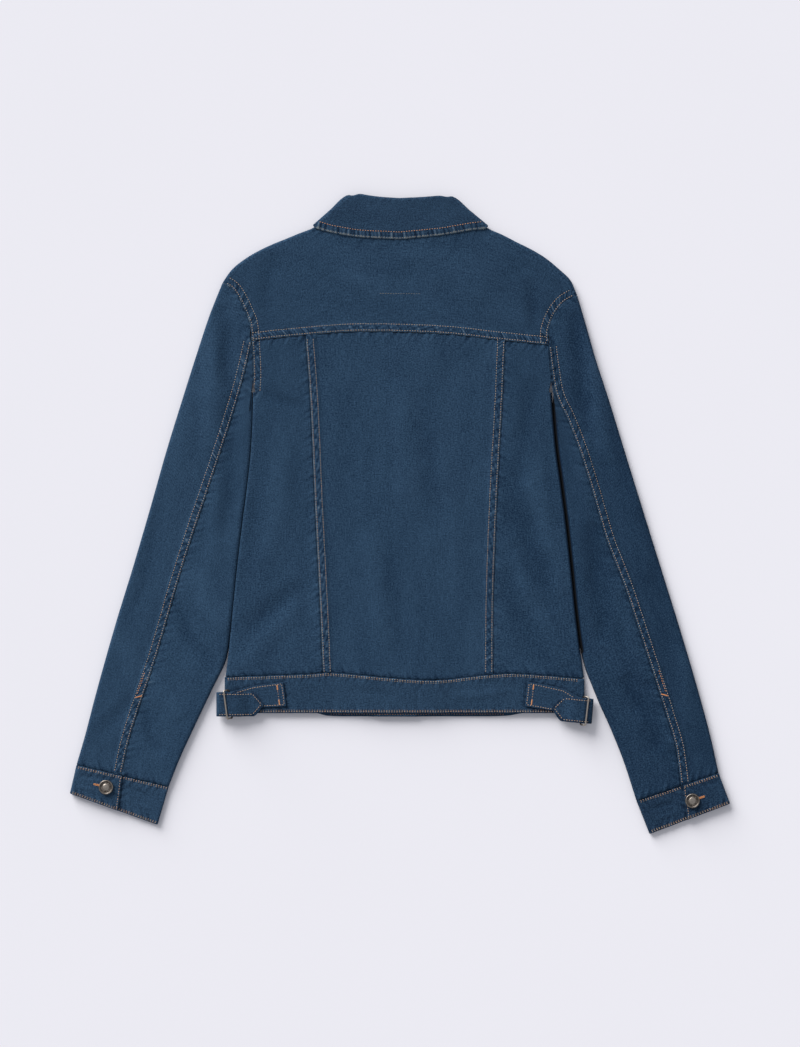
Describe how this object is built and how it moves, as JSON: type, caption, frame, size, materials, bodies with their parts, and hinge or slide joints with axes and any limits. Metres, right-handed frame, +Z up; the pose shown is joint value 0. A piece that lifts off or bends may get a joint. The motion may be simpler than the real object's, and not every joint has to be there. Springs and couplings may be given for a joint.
{
  "type": "denim jacket",
  "caption": "Blue denim jacket laid flat, back up: yoke, panels, two-piece sleeves, buttoned cuffs, turned-down collar and a waistband with buckle tabs.",
  "frame": {"origin": "on the surface that the jacket lies on, under the middle of its outline", "axes": "+X towards the wearer's right sleeve, +Y from hem to collar, +Z up out of the back"},
  "size_m": [0.7712, 0.7474, 0.015],
  "materials": {
    "denim": "mid blue twill with a soft wash",
    "denim_trim": "doubled twill, a little darker, with puckered edges",
    "antique_brass": "worn antique"
  },
  "bodies": {
    "root": {"back_yoke": "denim", "back_centre": "denim", "back_side_left": "denim", "back_side_right": "denim", "front_left": "denim", "front_right": "denim", "sleeve_upper_left": "denim", "sleeve_upper_right": "denim", "sleeve_lower_left": "denim", "sleeve_lower_right": "denim", "cuff_left": "denim_trim", "cuff_right": "denim_trim", "waistband": "denim_trim", "collar": "denim_trim", "tab_sewn_left": "denim_trim", "tab_sewn_right": "denim_trim", "tab_pointed_left": "denim_trim", "tab_pointed_right": "denim_trim", "slider_left": "antique_brass", "slider_right": "antique_brass", "cuff_button_left": "antique_brass", "cuff_button_right": "antique_brass", "front_button_1": "antique_brass", "front_button_2": "antique_brass", "front_button_3": "antique_brass", "front_button_4": "antique_brass", "front_button_5": "antique_brass", "front_button_6": "antique_brass"}
  },
  "joints": []
}
